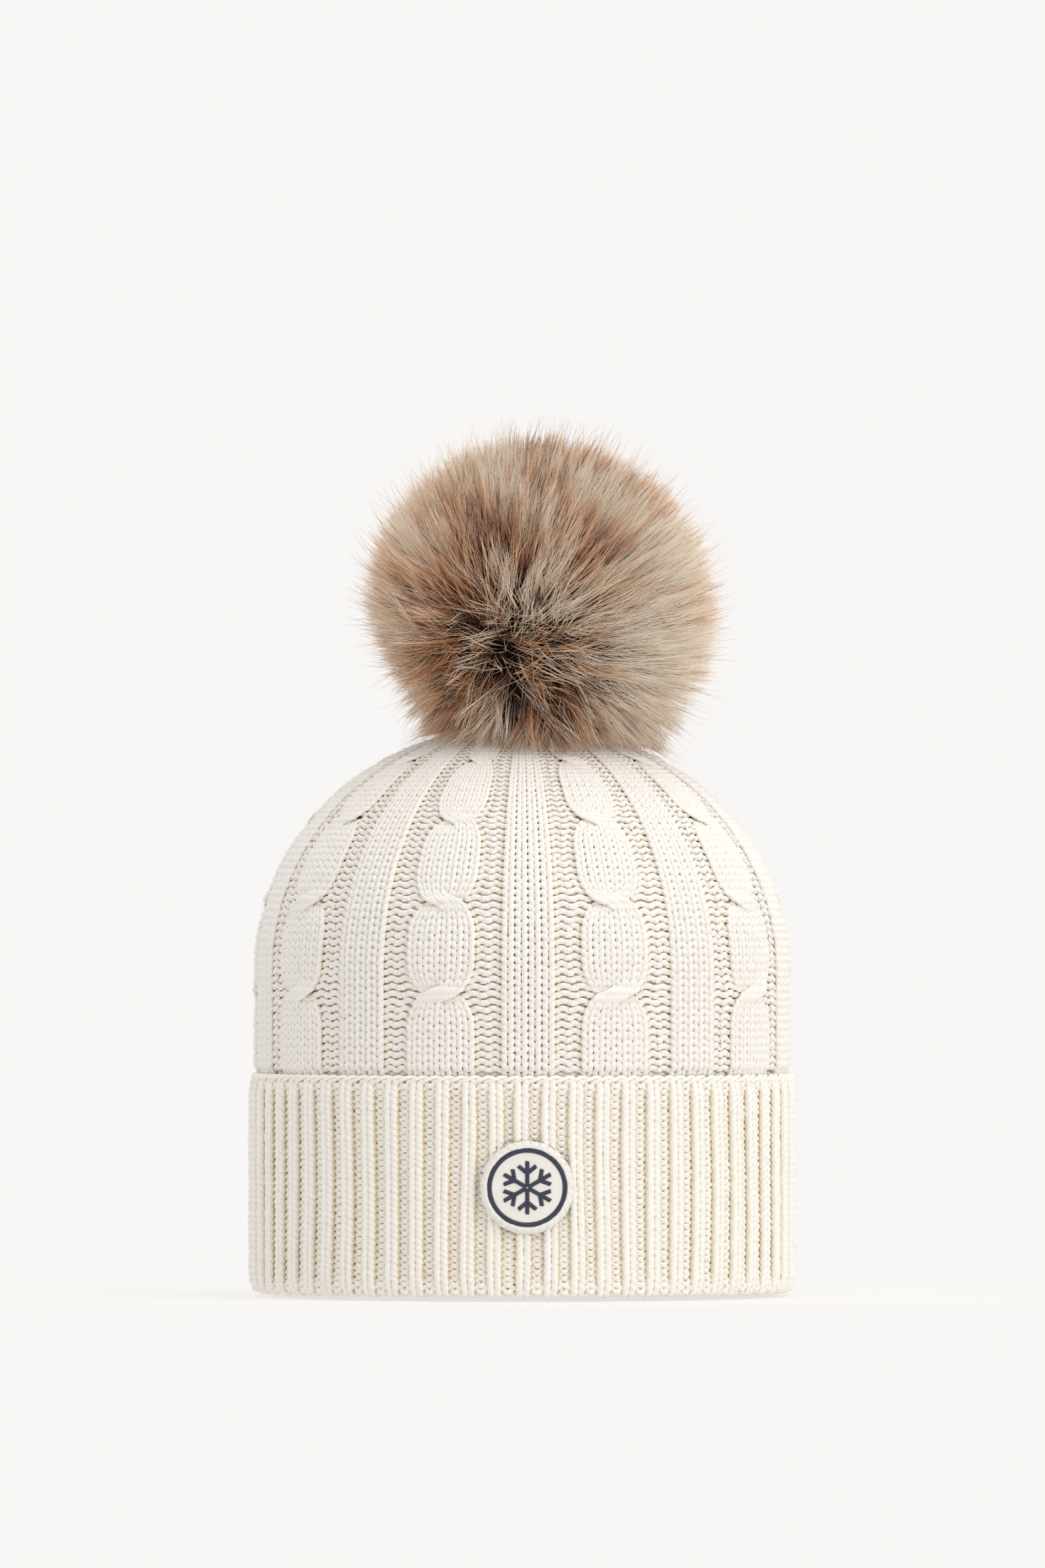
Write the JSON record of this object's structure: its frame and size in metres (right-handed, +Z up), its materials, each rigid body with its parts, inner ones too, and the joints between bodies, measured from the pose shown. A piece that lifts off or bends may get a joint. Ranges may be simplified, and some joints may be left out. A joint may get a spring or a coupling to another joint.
{
  "type": "pom pom beanie",
  "caption": "Cable-knit beanie with a turned-up ribbed cuff, a round sewn patch and a faux-fur pom pom that turns and pulls off its press stud.",
  "frame": {"origin": "the middle of the rim that the hat stands on", "axes": "+Z up through the crown and the press stud; the front of the hat, with its patch, faces -Y; +X is to the right of someone looking at the front"},
  "size_m": [0.178, 0.1801, 0.279],
  "materials": {
    "wool": "soft ivory wool yarn, matt with a fine halo",
    "fleece": "brushed fleece, matt",
    "sewing_thread": "spun polyester thread",
    "patch_backing": "stiff non-woven",
    "felt": "dense felt, matt",
    "navy_thread": "rayon satin stitch, soft sheen",
    "nickel": "nickel plate",
    "spring_wire": "spring wire",
    "backing_cloth": "knitted pile backing",
    "fibrefill": "loose polyester fibre",
    "cord": "braided nylon cord",
    "fur": "long silky pile, cream and tan with brown guard hairs",
    "label_tape": "satin tape, blank"
  },
  "bodies": {
    "hat": {"crown_knit": "wool", "crown_gather_yarn": "wool", "back_seam": "wool", "inner_band": "wool", "turned_up_cuff": "wool", "fleece_band": "fleece", "fleece_band_stitching": "sewing_thread", "patch_backing": "patch_backing", "patch_felt": "felt", "patch_border": "navy_thread", "patch_emblem": "navy_thread", "patch_stitches": "sewing_thread", "outer_disc": "felt", "inner_disc": "felt", "snap_stud": "nickel", "snap_stud_cap": "nickel", "care_label_stitches": "sewing_thread"},
    "ring_spring": {"snap_spring": "spring_wire"},
    "pom": {"snap_socket": "nickel", "snap_socket_cap": "nickel", "pom_base_disc": "felt", "pom_skin": "backing_cloth", "pom_filling": "fibrefill", "pom_drawstring": "cord", "pom_fur": "fur"},
    "label": {"care_label": "label_tape"}
  },
  "joints": [
    {"name": "pom_unsnap", "type": "slide", "parent": "hat", "child": "ring_spring", "axis": [0, 0, 1], "range_m": [0, 0.03]},
    {"name": "pom_spin", "type": "hinge", "parent": "ring_spring", "child": "pom", "pos_m": [0, 0, 0.1883], "axis": [0, 0, 1], "continuous": true},
    {"name": "label_flip", "type": "hinge", "parent": "hat", "child": "label", "pos_m": [0, 0.0805, 0.092], "axis": [0, 0, -1], "range_deg": [0, 150]}
  ]
}
